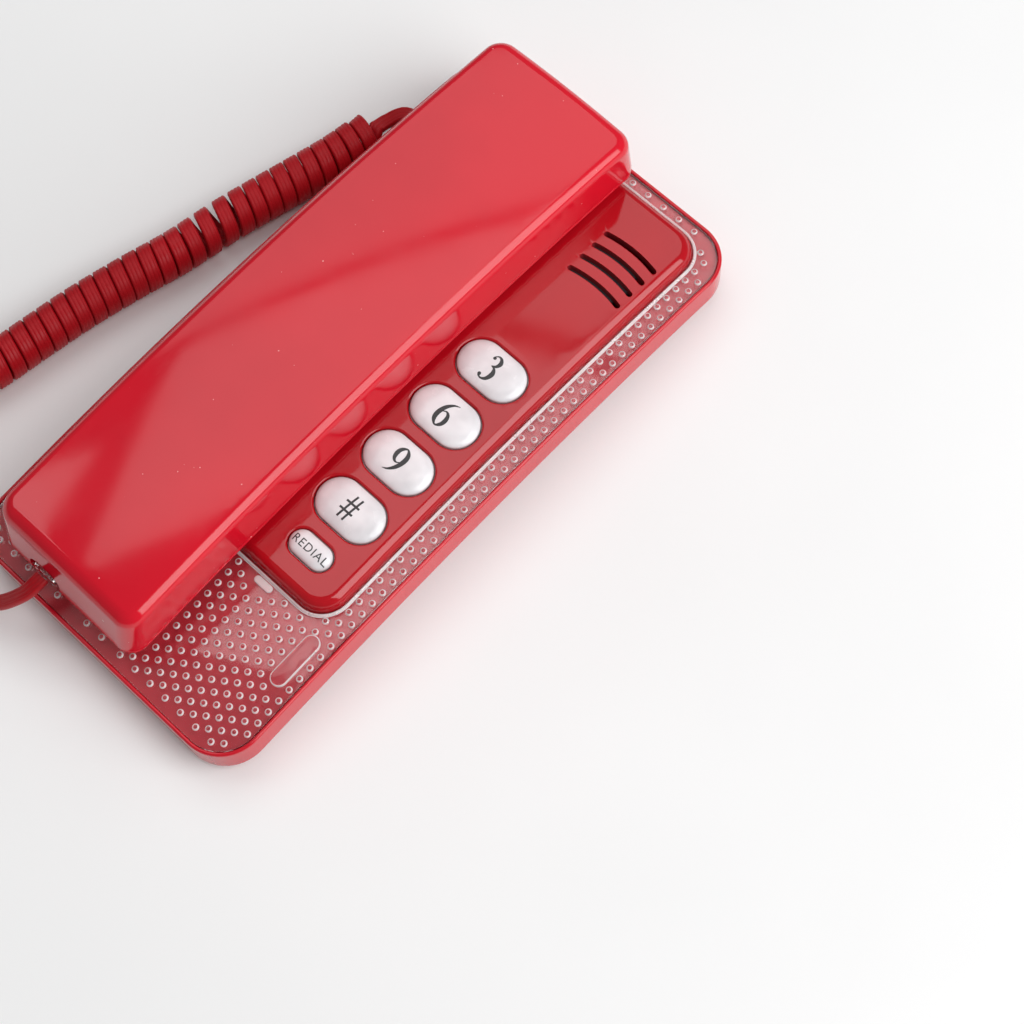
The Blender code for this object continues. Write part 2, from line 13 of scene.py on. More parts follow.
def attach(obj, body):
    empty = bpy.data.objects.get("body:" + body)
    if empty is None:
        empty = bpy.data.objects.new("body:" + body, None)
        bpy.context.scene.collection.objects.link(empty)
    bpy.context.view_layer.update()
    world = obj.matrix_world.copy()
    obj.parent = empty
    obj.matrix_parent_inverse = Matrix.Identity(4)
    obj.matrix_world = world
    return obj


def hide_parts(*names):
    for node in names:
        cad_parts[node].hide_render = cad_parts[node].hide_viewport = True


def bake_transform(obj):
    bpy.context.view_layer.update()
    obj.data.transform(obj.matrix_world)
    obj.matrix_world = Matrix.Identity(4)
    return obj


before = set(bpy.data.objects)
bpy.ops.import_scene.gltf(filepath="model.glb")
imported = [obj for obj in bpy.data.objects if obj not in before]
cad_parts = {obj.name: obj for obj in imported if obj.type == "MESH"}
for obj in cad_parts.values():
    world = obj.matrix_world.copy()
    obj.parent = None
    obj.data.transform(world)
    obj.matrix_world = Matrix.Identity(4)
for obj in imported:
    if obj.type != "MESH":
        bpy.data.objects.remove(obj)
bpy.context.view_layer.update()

MM = 0.001

# Driving dimensions, as in the part. Heights are those of the middle of the phone (y = 0):
# every moulded piece then follows the body's lengthwise arch.
ARCH = 6.0
BASE_W, BASE_L, BASE_R = 100.0, 203.0, 13.0
Z_BACK, Z_FLOOR, Z_RIM = 7.5, 9.3, 19.0
Z_LEDGE = 15.3
Z_DECK = 17.0
Z_COVER_LOW, Z_COVER = 17.3, 18.9
INSET_W, INSET_L, INSET_R = 97.0, 200.0, 11.5
LIP = 1.2

FACE_W, FACE_L, FACE_R = 83.6, 150.5, 8.5
FACE_Y = 20.0
Z_FACE = 23.0
WINDOW_FIT = 0.8

KEY_COLUMNS = (-25.9, 0.0, 25.9)
KEY_ROWS = (26.1, 7.9, -10.2, -28.4)
KEY_W, KEY_H = 21.3, 13.4
SMALL_ROW = -43.4
SMALL_W, SMALL_H = 13.7, 7.2
KEY_FIT = 0.35
Z_KEY_LOW, Z_KEY_FLANGE, Z_KEY_SIDE, Z_KEY = 19.9, 20.8, 22.7, 24.4
KEY_FLANGE, DOME_POWER, OPENING_DEPTH = 0.9, 2.6, 2.6

CRADLE_X = -11.8
CRADLE_Y, CRADLE_W, CRADLE_L, CRADLE_R = 60.3, 45.8, 47.4, 11.0
Z_CRADLE = 17.5
MOUTH_Y = -78.0
MOUTH_HOLE_R = 17.5
HOOK_X, HOOK_Y, HOOK_W, HOOK_L = -12.0, 58.0, 12.8, 10.0
SLOT_X, SLOT_LENGTH, SLOT_WIDTH, SLOT_BOW = 28.6, 19.0, 1.6, 1.0
SLOT_ROWS = (64.5, 69.5, 74.5, 79.4)

HANDSET_X, HANDSET_W, HANDSET_R = -12.8, 51.6, 5.6
HANDSET_Y, HANDSET_L = 1.8, 196.4
Z_HANDSET_LOW, Z_SEAM, Z_HANDSET_TOP = 25.3, 26.9, 44.5
HANDSET_CROWN, HANDSET_EDGE = 1.3, 3.0
EAR_R, Z_EAR = 18.0, 17.8
MOUTH_R, Z_MOUTH = 16.0, 17.4
CAP_BORDER, CAP_STEP = 3.2, 0.35
HANDSET_SCREW_Y, HANDSET_SCREW_R = (-44.0, 32.0), 2.9
CORD_X, CORD_Z = -20.3, 29.4

SCREW_PLACES = ((-43.2, -67.0), (43.2, -67.0), (-43.2, 50.0), (43.2, 50.0))
KEYHOLE_Y = (-60.0, 40.0)
JACK_Y, JACK_Z, LINE_X = 73.0, 12.45, 22.0
SOCKET_HEIGHT, CORD_SOCKET_W, LINE_SOCKET_W = 5.2, 8.4, 10.4
SCREW_HOLE_R, TRAY_WALL = 3.0, 3.2
KEYHOLE_R, KEYHOLE_SLOT_R, KEYHOLE_RISE = 4.6, 2.3, 14.0

BOSS_X, BOSS_Y, BOSS_W, BOSS_L = 42.9, -67.0, 5.0, 17.0
TAB_PLACES = ((-23.9, -57.9), (21.8, -57.9))
TAB_W, TAB_L = 6.2, 2.2

TAIL_ROUTE = ((-20.3, -96.9, 23.9), (-20.4, -99.6, 23.4), (-22.2, -103.6, 20.2), (-27.6, -108.7, 13.8),
              (-34.0, -111.5, 8.8), (-43.0, -114.3, 4.8), (-54.0, -115.8, 3.2), (-65.0, -114.4, 3.0),
              (-75.0, -110.2, 4.0), (-81.8, -105.2, 5.6), (-84.6, -101.4, 6.4), (-85.9, -99.3, 6.7))
COIL_ROUTE = ((-86.3, -98.4, 6.8), (-89.6, -89.0, 6.8), (-88.4, -76.0, 6.8), (-84.6, -64.0, 6.8),
              (-82.0, -48.0, 6.8), (-79.6, -34.0, 6.8), (-76.0, -18.3, 6.8), (-71.9, -2.9, 6.8),
              (-68.4, 15.1, 6.8), (-62.9, 37.1, 6.8), (-59.7, 50.5, 6.8), (-57.6, 65.0, 6.8))
BASE_ROUTE = ((-57.5, 65.6, 6.8), (-56.6, 68.2, 7.2), (-55.3, 70.6, 8.2), (-53.6, 72.3, 9.0),
              (-51.5, 73.0, 9.3))
CORD_W, CORD_T = 4.6, 2.3
COIL_MEAN_R = 5.5
COIL_PITCH = 4.62


# ---- materials ----

def new_material(name):
    made = bpy.data.materials.new(name)
    made.use_nodes = True
    tree = made.node_tree
    return made, tree, tree.nodes["Principled BSDF"]


def put(made, **values):
    """Set a node's inputs by name, with _ for each space."""
    for key, value in values.items():
        made.inputs[key.replace("_", " ")].default_value = value


def node(tree, kind, **values):
    """A new node with the given inputs set."""
    made = tree.nodes.new(kind)
    put(made, **values)
    return made


def noise(tree, scale, detail=3.0, roughness=0.5):
    """Noise in the object's own coordinates, in cycles a metre."""
    place = node(tree, "ShaderNodeTexCoord")
    made = node(tree, "ShaderNodeTexNoise", Scale=scale, Detail=detail, Roughness=roughness)
    tree.links.new(place.outputs["Object"], made.inputs["Vector"])
    return made.outputs["Fac"]


def ramp(tree, source, low, high, start, stop):
    """Source remapped to a colour ramp from low to high between start and stop."""
    made = node(tree, "ShaderNodeValToRGB")
    made.color_ramp.elements[0].position = start
    made.color_ramp.elements[1].position = stop
    made.color_ramp.elements[0].color = (*low, 1.0)
    made.color_ramp.elements[1].color = (*high, 1.0)
    tree.links.new(source, made.inputs["Fac"])
    return made.outputs["Color"]


def spread(tree, source, low, high):
    """The source's middle range, 0.3 to 0.7, spread from low to high."""
    made = node(tree, "ShaderNodeMapRange", From_Min=0.3, From_Max=0.7, To_Min=low, To_Max=high)
    tree.links.new(source, made.inputs["Value"])
    return made.outputs["Result"]


def bump(tree, shader, heights):
    """Chain bumps of (height source, depth in metres) into the shader's normal."""
    last = None
    for source, depth in heights:
        made = node(tree, "ShaderNodeBump", Strength=1.0, Distance=depth)
        tree.links.new(source, made.inputs["Height"])
        if last is not None:
            tree.links.new(last, made.inputs["Normal"])
        last = made.outputs["Normal"]
    tree.links.new(last, shader.inputs["Normal"])


def moulded(name, colour, rough, tint=0.06, grain=0.0, specks=False, gloss=0.5):
    """Moulded plastic: slight colour drift, waviness and fine scuffs; grain and specks if asked for."""
    made, tree, shader = new_material(name)
    drift = noise(tree, 18.0)
    darker = tuple(c * (1.0 - tint) for c in colour)
    lighter = tuple(min(c * (1.0 + tint) + 0.002, 1.0) for c in colour)
    base = ramp(tree, drift, darker, lighter, 0.35, 0.65)
    if specks:
        dust = ramp(tree, noise(tree, 900.0, 1.0), (0, 0, 0), (1, 1, 1), 0.80, 0.84)
        mix = node(tree, "ShaderNodeMix")
        mix.data_type = "RGBA"
        tree.links.new(dust, mix.inputs["Factor"])
        tree.links.new(base, mix.inputs["A"])
        mix.inputs["B"].default_value = (0.85, 0.35, 0.36, 1.0)
        base = mix.outputs["Result"]
    tree.links.new(base, shader.inputs["Base Color"])
    scuff = noise(tree, 60.0, 6.0, 0.7)
    tree.links.new(spread(tree, scuff, rough * 0.75, rough * 1.35), shader.inputs["Roughness"])
    put(shader, IOR=1.52, Specular_IOR_Level=gloss)
    heights = [(noise(tree, 45.0, 1.0), 0.00002), (noise(tree, 2600.0, 2.0), 0.0000006)]
    if grain:
        heights.append((noise(tree, 1500.0, 2.0), grain))
    bump(tree, shader, heights)
    return made


def clear_plastic(name, rough=0.02, tint=(1.0, 0.97, 0.975), clarity=1.0):
    made, tree, shader = new_material(name)
    haze = ramp(tree, noise(tree, 30.0), tint, (1.0, 0.99, 0.99), 0.35, 0.65)
    tree.links.new(haze, shader.inputs["Base Color"])
    tree.links.new(spread(tree, noise(tree, 90.0, 5.0, 0.7), rough * 0.5, rough * 1.8),
                   shader.inputs["Roughness"])
    put(shader, IOR=1.49, Transmission_Weight=clarity)
    bump(tree, shader, [(noise(tree, 70.0, 1.0), 0.000015)])
    return made


def metal(name, colour, rough):
    made, tree, shader = new_material(name)
    tone = ramp(tree, noise(tree, 300.0), tuple(c * 0.8 for c in colour), colour, 0.3, 0.7)
    tree.links.new(tone, shader.inputs["Base Color"])
    tree.links.new(spread(tree, noise(tree, 700.0, 4.0), rough * 0.7, rough * 1.5),
                   shader.inputs["Roughness"])
    put(shader, Metallic=1.0)
    bump(tree, shader, [(noise(tree, 1800.0, 2.0), 0.000003)])
    return made


def pearl(name):
    """Milky key plastic with a soft pearly drift and a thin clear coat."""
    made, tree, shader = new_material(name)
    cloud = noise(tree, 140.0, 2.0)
    tree.links.new(ramp(tree, cloud, (0.70, 0.69, 0.71), (0.80, 0.79, 0.81), 0.35, 0.62),
                   shader.inputs["Base Color"])
    tree.links.new(spread(tree, noise(tree, 220.0, 4.0), 0.16, 0.30), shader.inputs["Roughness"])
    put(shader, IOR=1.5, Coat_Weight=0.35, Coat_Roughness=0.08, Subsurface_Weight=0.15,
        Subsurface_Radius=(0.002, 0.0018, 0.0018), Subsurface_Scale=1.0)
    bump(tree, shader, [(noise(tree, 90.0, 1.0), 0.00002)])
    return made


RED = (0.62, 0.004, 0.018)
MATERIALS = {
    "handset_red": moulded("handset_red", RED, 0.10, specks=True),
    "base_red": moulded("base_red", (0.58, 0.005, 0.018), 0.12),
    "face_red": moulded("face_red", (0.42, 0.002, 0.008), 0.08),
    # painted light: the deck under the clear cover gets a lighter pink red than the other red parts,
    # standing in for the light that comes through the cover
    "deck_red_painted_light": moulded("deck_red_painted_light", (0.74, 0.040, 0.062), 0.30),
    # painted shade: a dark maroon for the slot walls, standing in for the shade down inside the slots
    "slot_painted_shade": moulded("slot_painted_shade", (0.22, 0.006, 0.012), 0.50, tint=0.2),
    "cradle_red": moulded("cradle_red", (0.40, 0.004, 0.010), 0.34, grain=0.00002),
    "cord_red": moulded("cord_red", (0.44, 0.006, 0.012), 0.42, grain=0.000006, tint=0.12,
                        gloss=0.2),
    "cover_clear": clear_plastic("cover_clear"),
    # painted highlight: a rougher, whiter, half-clear version of the cover plastic, so that the dimple rims,
    # the window bead and the raised pads look bright like ring reflections
    "cover_rim_painted_highlight": clear_plastic("cover_rim_painted_highlight", 0.30, (1.0, 0.90, 0.91), 0.45),
    "plug_clear": clear_plastic("plug_clear", 0.05, (0.95, 0.93, 0.90)),
    "key_pearl": pearl("key_pearl"),
    "print_black": moulded("print_black", (0.020, 0.020, 0.022), 0.35, tint=0.3),
    "rubber_grey": moulded("rubber_grey", (0.12, 0.12, 0.13), 0.65, grain=0.00003, tint=0.15),
    "dark_plastic": moulded("dark_plastic_grain", (0.03, 0.03, 0.033), 0.4, grain=0.00001, tint=0.2),
    "steel": metal("steel_screw", (0.62, 0.61, 0.60), 0.3),
    "board": moulded("board_green", (0.02, 0.10, 0.04), 0.4, grain=0.00001, tint=0.2),
}


# ---- mesh helpers ----

def sink(y):
    """How far the arch drops a cross-section at y."""
    return ARCH * (y / 100.0) ** 2


def outline(width, length, radius, centre=(0.0, 0.0), arc=8, nx=1, ny=1):
    """Rounded rectangle, anticlockwise from its +X side; nx and ny split its straight sides."""
    radius = max(radius, 0.05)
    hx, hy = width / 2 - radius, length / 2 - radius
    corners = ((hx, hy, 0), (-hx, hy, 90), (-hx, -hy, 180), (hx, -hy, 270))
    points = []

    def on_corner(corner, angle):
        angle = math.radians(angle)
        return (centre[0] + corner[0] + radius * math.cos(angle),
                centre[1] + corner[1] + radius * math.sin(angle))

    for index, corner in enumerate(corners):
        turn = [on_corner(corner, corner[2] + 90.0 * step / arc) for step in range(arc + 1)]
        points += turn
        after = corners[(index + 1) % 4]
        stop = on_corner(after, after[2])
        count = nx if index in (0, 2) else ny
        for step in range(1, count):
            t = step / count
            points.append((turn[-1][0] * (1 - t) + stop[0] * t, turn[-1][1] * (1 - t) + stop[1] * t))
    return points


def circle(centre, radius, sides=32):
    turns = [math.tau * i / sides for i in range(sides)]
    return [(centre[0] + radius * math.cos(a), centre[1] + radius * math.sin(a)) for a in turns]


def pill(centre, width, height, arc=8, straight=3):
    """A pill lying along its longer side."""
    if width >= height:
        return outline(width, height, height / 2 - 0.001, centre, arc, straight, 1)
    return outline(width, height, width / 2 - 0.001, centre, arc, 1, straight)


def spline(points, steps):
    """Points on a smooth curve through all but the first and last of the points."""
    dense = []
    for before, start, stop, after in zip(points, points[1:], points[2:], points[3:]):
        for step in range(steps):
            t = step / steps
            dense.append(0.5 * (2 * start + (stop - before) * t
                                + (2 * before - 5 * start + 4 * stop - after) * t * t
                                + (3 * start - before - 3 * stop + after) * t ** 3))
    return dense


def lift(points, z):
    return [(x, y, z(x, y) if callable(z) else z) for x, y in points]


def inside(points, polygon):
    """Which of the points lie inside the polygon."""
    x, y = points[:, 0], points[:, 1]
    px, py = np.array(polygon).T
    qx, qy = np.roll(px, -1), np.roll(py, -1)
    result = np.zeros(len(points), bool)
    for ax, ay, bx, by in zip(px, py, qx, qy):
        if ay == by:
            continue
        crosses = (ay > y) != (by > y)
        result ^= crosses & (x < (bx - ax) * (y - ay) / (by - ay) + ax)
    return result


def placed(name, data):
    """A new object in the scene that shows the data."""
    obj = bpy.data.objects.new(name, data)
    bpy.context.scene.collection.objects.link(obj)
    return obj


def new_object(name, bm):
    """The finished mesh as an object in the scene."""
    mesh = bpy.data.meshes.new(name)
    bm.to_mesh(mesh)
    bm.free()
    return placed(name, mesh)


def joined(contours):
    """The points of all the contours in one list, and the edges between them."""
    points, edges = [], []
    for contour in contours:
        first = len(points)
        points += contour
        edges += [(first + i, first + (i + 1) % len(contour)) for i in range(len(contour))]
    return points, edges


def triangulated(points, edges):
    """Places and faces between the points, with each given point kept as it was given."""
    made = delaunay_2d_cdt([Vector(p) for p in points], edges, [], 0, 1e-5)
    places = [(v.x, v.y) for v in made[0]]
    for index, origins in enumerate(made[3]):
        if origins:
            places[index] = points[origins[0]]
    return places, made[2]


class Shell:
    """A mesh that grows by strips between rings and by filled outlines, welded by place."""

    def __init__(self):
        self.bm = bmesh.new()
        self.known = {}

    def vertex(self, point):
        key = (round(point[0], 4), round(point[1], 4), round(point[2], 4))
        if key not in self.known:
            self.known[key] = self.bm.verts.new(point)
        return self.known[key]

    def face(self, points, slot=0):
        corners = []
        for point in points:
            corner = self.vertex(point)
            if corner not in corners:
                corners.append(corner)
        if len(corners) > 2 and self.bm.faces.get(corners) is None:
            made = self.bm.faces.new(corners)
            made.material_index = slot

    def strips(self, rings, slot=0, closed=True):
        """Quads between rings of the same count."""
        for low, high in zip(rings, rings[1:]):
            count = len(low)
            for i in range(count if closed else count - 1):
                j = (i + 1) % count
                self.face((low[i], low[j], high[j], high[i]), slot)

    def fill(self, outer, z, holes=(), spacing=4.0, slot=0, up=True):
        """Triangles over the outline less its holes, with points every spacing for the arch to bend."""
        points, edges = joined([outer, *holes])
        border = np.array(points)
        low, high = border.min(0), border.max(0)
        grid = [(low[0] + spacing * (i + 0.5 * (j % 2)), low[1] + spacing * 0.9 * j)
                for i in range(1, int((high[0] - low[0]) / spacing) + 1)
                for j in range(1, int((high[1] - low[1]) / (0.9 * spacing)) + 1)]
        grid = np.array(grid).reshape(-1, 2)
        if len(grid):
            keep = inside(grid, outer)
            for hole in holes:
                keep &= ~inside(grid, hole)
            for start in range(0, len(grid), 400):
                part = grid[start:start + 400]
                away = part[:, None, :] - border[None, :, :]
                near = np.hypot(away[..., 0], away[..., 1]).min(1)
                keep[start:start + 400] &= near > 0.35 * spacing
            points += [tuple(p) for p in grid[keep]]
        places, faces = triangulated(points, edges)
        faces = [f for f in faces if len(f) == 3]
        middles = np.array([np.mean([places[i] for i in f], axis=0) for f in faces])
        keep = inside(middles, outer)
        for hole in holes:
            keep &= ~inside(middles, hole)
        for wanted, corners in zip(keep, faces):
            if wanted:
                flat = [places[i] for i in (corners if up else corners[::-1])]
                self.face(lift(flat, z), slot)

    def to_object(self, name, materials, bend=True, angle=35.0, solid=0.0, recalc=True):
        """The finished mesh as an object in metres, bent by the arch and smooth but for sharp edges."""
        if recalc:
            bmesh.ops.recalc_face_normals(self.bm, faces=self.bm.faces)
        for vertex in self.bm.verts:
            if bend:
                vertex.co.z -= sink(vertex.co.y)
            vertex.co *= MM
        for made in self.bm.faces:
            made.smooth = True
        obj = new_object(name, self.bm)
        for material in materials:
            obj.data.materials.append(MATERIALS[material])
        if solid:
            wall = obj.modifiers.new("wall", "SOLIDIFY")
            wall.thickness = solid * MM
            wall.offset = -1.0
            apply_modifiers(obj)
        obj.data.set_sharp_from_angle(angle=math.radians(angle))
        weigh(obj)
        return obj


def apply_modifiers(obj):
    graph = bpy.context.evaluated_depsgraph_get()
    made = bpy.data.meshes.new_from_object(obj.evaluated_get(graph))
    obj.modifiers.clear()
    obj.data = made


def weigh(obj):
    """Normals weighted by face area, so that flats stay flat beside small rounded edges."""
    modifier = obj.modifiers.new("normals", "WEIGHTED_NORMAL")
    modifier.keep_sharp = True
    modifier.weight = 80
    apply_modifiers(obj)


def quarter(radius, steps):
    """(inset, drop) pairs of a rounded edge, from the flat top outwards to the side."""
    pairs = []
    for step in range(steps + 1):
        angle = math.radians(90.0 * step / steps)
        pairs.append((radius * (1 - math.sin(angle)), radius * (1 - math.cos(angle))))
    return pairs


def declare(obj, body, slot, *nodes):
    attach(obj, body)
    if nodes:
        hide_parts(*nodes)
    return obj


# ---- camera ----

AZIMUTH, ELEVATION, ROLL = math.radians(49.5), math.radians(69.39), math.radians(-6.62)
TARGET = Vector((52.99, 4.33, 5.0)) * MM
DISTANCE = 592.33 * MM


def make_camera():
    data = bpy.data.cameras.new("camera")
    data.lens = 76.4
    data.sensor_width = 36.0
    data.clip_start = 0.01
    camera = placed("camera", data)
    back = Vector((math.sin(AZIMUTH) * math.cos(ELEVATION), -math.cos(AZIMUTH) * math.cos(ELEVATION),
                   math.sin(ELEVATION)))
    side = Vector((0, 0, 1)).cross(back).normalized()
    up = back.cross(side)
    right = math.cos(ROLL) * side + math.sin(ROLL) * up
    top = -math.sin(ROLL) * side + math.cos(ROLL) * up
    turn = Matrix((right, top, back)).transposed()
    camera.matrix_world = Matrix.Translation(TARGET + back * DISTANCE) @ turn.to_4x4()
    bpy.context.scene.camera = camera


# ---- cord ----

def smooth_route(points, spacing):
    """Evenly spaced points on a smooth curve through the route's own points."""
    points = [Vector(p) for p in points]
    dense = spline([2 * points[0] - points[1]] + points + [2 * points[-1] - points[-2]], 24)
    line = np.array([tuple(p) for p in dense + points[-1:]])
    along = np.concatenate([[0.0], np.cumsum(np.linalg.norm(np.diff(line, axis=0), axis=1))])
    count = max(2, round(along[-1] / spacing))
    wanted = np.linspace(0.0, along[-1], count + 1)
    return np.stack([np.interp(wanted, along, line[:, i]) for i in range(3)], 1), along[-1]


def smooth_step(t):
    t = np.clip(t, 0.0, 1.0)
    return t * t * (3 - 2 * t)


def cord_path():
    """Centre points of the whole cord, and the direction of its width at each."""
    axis_points = TAIL_ROUTE[:-1] + COIL_ROUTE + BASE_ROUTE[1:]
    line, total = smooth_route(axis_points, 0.25)
    tail = smooth_route(TAIL_ROUTE[:-1] + COIL_ROUTE[:1], 0.25)[1]
    rest = smooth_route(COIL_ROUTE[-1:] + BASE_ROUTE[1:], 0.25)[1]
    along = np.linspace(0.0, total, len(line))
    tangent = np.gradient(line, axis=0)
    tangent /= np.linalg.norm(tangent, axis=1)[:, None]
    start, stop = tail, total - rest
    ramp_up = smooth_step((along - start) / 6.0)
    ramp_down = smooth_step((stop - along) / 6.0)
    radius = COIL_MEAN_R * np.minimum(ramp_up, ramp_down)
    opened = np.exp(-((along - start - 0.665 * (stop - start)) / 7.0) ** 2)
    pitch = COIL_PITCH * (1.0 + 0.34 * opened)
    rate = math.tau / pitch * smooth_step((along - start + 3.0) / 4.0)
    rate *= smooth_step((stop + 3.0 - along) / 4.0)
    phase = np.concatenate([[0.0], np.cumsum(0.5 * (rate[1:] + rate[:-1]) * np.diff(along))]) - 2.0
    # finer steps where the cord turns round the coil
    turns = np.concatenate([[0.0], np.cumsum(np.hypot(np.diff(along), radius[1:] * np.diff(phase)))])
    wanted = np.linspace(0.0, turns[-1], int(turns[-1] / 1.0) + 1)
    place = np.interp(wanted, turns, along)
    line = np.stack([np.interp(place, along, line[:, i]) for i in range(3)], 1)
    tangent = np.stack([np.interp(place, along, tangent[:, i]) for i in range(3)], 1)
    radius, phase = np.interp(place, along, radius), np.interp(place, along, phase)
    side = np.cross(tangent, (0.0, 0.0, 1.0))
    side /= np.linalg.norm(side, axis=1)[:, None]
    up = np.cross(side, tangent)
    out = np.cos(phase)[:, None] * side + np.sin(phase)[:, None] * up
    centre = line + radius[:, None] * out
    share = (radius / COIL_MEAN_R)[:, None]
    flat = np.where(place[:, None] < start, side, -side)
    width = share * tangent + (1.0 - share) * flat
    return centre, width


def make_cord():
    """One flat ribbed cord: handset tail, coil and base tail, as a mesh tube."""
    centre, width = cord_path()
    along = np.gradient(centre, axis=0)
    along /= np.linalg.norm(along, axis=1)[:, None]
    width -= (width * along).sum(1)[:, None] * along
    width /= np.linalg.norm(width, axis=1)[:, None]
    thick = np.cross(along, width)
    section = []
    ribs, per_rib = 4, 5
    for side in (1, -1):
        for rib in range(ribs):
            for step in range(per_rib):
                angle = math.pi * (step + 0.5) / per_rib
                x = (-1.5 + rib) * CORD_W / ribs - math.cos(angle) * CORD_W / ribs / 2
                z = CORD_T / 2 * (0.80 + 0.20 * math.sin(angle))
                end = abs(x) / (CORD_W / 2)
                z *= math.sqrt(max(1.0 - max(end - 0.72, 0.0) ** 2 / 0.28 ** 2 * 0.96, 0.05))
                section.append((side * x * 0.97, side * z))
    shell = Shell()
    rings = [[tuple(c + w * x + t * z) for x, z in section] for c, w, t in zip(centre, width, thick)]
    shell.strips(rings)
    shell.face(rings[0][::-1])
    shell.face(rings[-1])
    cord = shell.to_object("curly_cord", ["cord_red"], bend=False, angle=70.0)
    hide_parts("cord_tail_handset", "cord_coil", "cord_tail_base")
    end = Vector(TAIL_ROUTE[0]) * MM
    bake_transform(cord)


# ---- base ----

def keyhole(y):
    """Outline of a wall-mounting keyhole: a round end below a narrow slot."""
    big, small, top = KEYHOLE_R, KEYHOLE_SLOT_R, KEYHOLE_RISE
    start = math.asin(small / big)
    points = []
    for step in range(25):
        angle = math.pi / 2 + start + (math.tau - 2 * start) * step / 24
        points.append((big * math.cos(angle), y + big * math.sin(angle)))
    for step in range(9):
        angle = math.pi * step / 8
        points.append((small * math.cos(angle), y + top - small + small * math.sin(angle)))
    return points


def base_outline(inset):
    return outline(BASE_W - 2 * inset, BASE_L - 2 * inset, BASE_R - inset, arc=14, nx=24, ny=50)


def box_cutter(low, high):
    bm = bmesh.new()
    bmesh.ops.create_cube(bm, size=1.0)
    for vertex in bm.verts:
        vertex.co = Vector([(a + b) / 2 + c * (b - a) for a, b, c in zip(low, high, vertex.co)])
    return new_object("cutter", bm)


def cut_shell(shell, cutters):
    """Cut the closed shell, still in millimetres, with the cutters."""
    bmesh.ops.recalc_face_normals(shell.bm, faces=shell.bm.faces)
    obj = new_object("cut", shell.bm.copy())
    for cutter in cutters:
        modifier = obj.modifiers.new("cut", "BOOLEAN")
        modifier.operation = "DIFFERENCE"
        modifier.solver = "EXACT"
        modifier.object = cutter
    apply_modifiers(obj)
    shell.bm.clear()
    shell.bm.from_mesh(obj.data)
    bpy.data.objects.remove(obj)
    for cutter in cutters:
        bpy.data.objects.remove(cutter)


def make_rear_housing():
    shell = Shell()
    keyholes = [keyhole(y) for y in KEYHOLE_Y]
    screws = [circle(place, SCREW_HOLE_R, 24) for place in SCREW_PLACES]
    holes = keyholes + screws
    profile = [(1.6, Z_BACK)]
    for inset, drop in quarter(1.5, 5):
        profile.append((inset, Z_BACK + drop))
    profile += [(0.0, Z_BACK + 3.5), (0.0, Z_BACK + 6.5), (0.0, Z_RIM - 1.2)]
    half = LIP / 2
    for step in range(9):
        angle = math.pi * step / 8
        profile.append((half - half * math.cos(angle), Z_RIM - half + half * math.sin(angle)))
    profile += [(LIP, Z_LEDGE), (TRAY_WALL, Z_LEDGE), (TRAY_WALL, Z_FLOOR)]
    rings = [lift(base_outline(inset), z) for inset, z in profile]
    shell.strips(rings)
    shell.fill(base_outline(1.6), Z_BACK, holes, 6.0, up=False)
    shell.fill(base_outline(TRAY_WALL), Z_FLOOR, holes, 6.0)
    for hole in holes:
        shell.strips([lift(hole, Z_BACK), lift(hole, Z_FLOOR)])
    low, high = JACK_Z - SOCKET_HEIGHT / 2, JACK_Z + SOCKET_HEIGHT / 2
    jack = box_cutter((-BASE_W / 2 - 2, JACK_Y - CORD_SOCKET_W / 2, low),
                      (-BASE_W / 2 + 4, JACK_Y + CORD_SOCKET_W / 2, high))
    line = box_cutter((LINE_X - LINE_SOCKET_W / 2, BASE_L / 2 - 4, low),
                      (LINE_X + LINE_SOCKET_W / 2, BASE_L / 2 + 2, high))
    cut_shell(shell, [jack, line])
    declare(shell.to_object("rear_tray", ["base_red"]), "base", "red_shell", "rear_housing")


def slot_outline(y, grow=0.0):
    """A bowed slot with round ends, higher in its middle than at its ends."""
    half, reach = SLOT_WIDTH / 2 + grow, (SLOT_LENGTH - SLOT_WIDTH) / 2
    steps, turn, points = 14, 8, []

    def place(t, angle):
        """The point at half a width from the middle line at t, turned by angle from its normal."""
        angle += math.atan(-2 * SLOT_BOW * t / reach) + math.pi / 2
        return (SLOT_X + t * reach + half * math.cos(angle),
                y - 0.6 + SLOT_BOW * (1 - t * t) + half * math.sin(angle))

    for side in (1, -1):
        base = 0.0 if side > 0 else math.pi
        points += [place(side * (1 - 2 * step / steps), base) for step in range(steps)]
        points += [place(-side, base + math.pi * step / turn) for step in range(turn)]
    return points


def key_layout():
    """Centre, width, height and name of each of the fifteen keys."""
    names = (("1", "2", "3"), ("4", "5", "6"), ("7", "8", "9"), ("star", "0", "hash"))
    for row, row_names in zip(KEY_ROWS, names):
        for column, name in zip(KEY_COLUMNS, row_names):
            yield (column, row), KEY_W, KEY_H, name
    for column, name in zip(KEY_COLUMNS, ("mute", "pause", "redial")):
        yield (column, SMALL_ROW), SMALL_W, SMALL_H, name


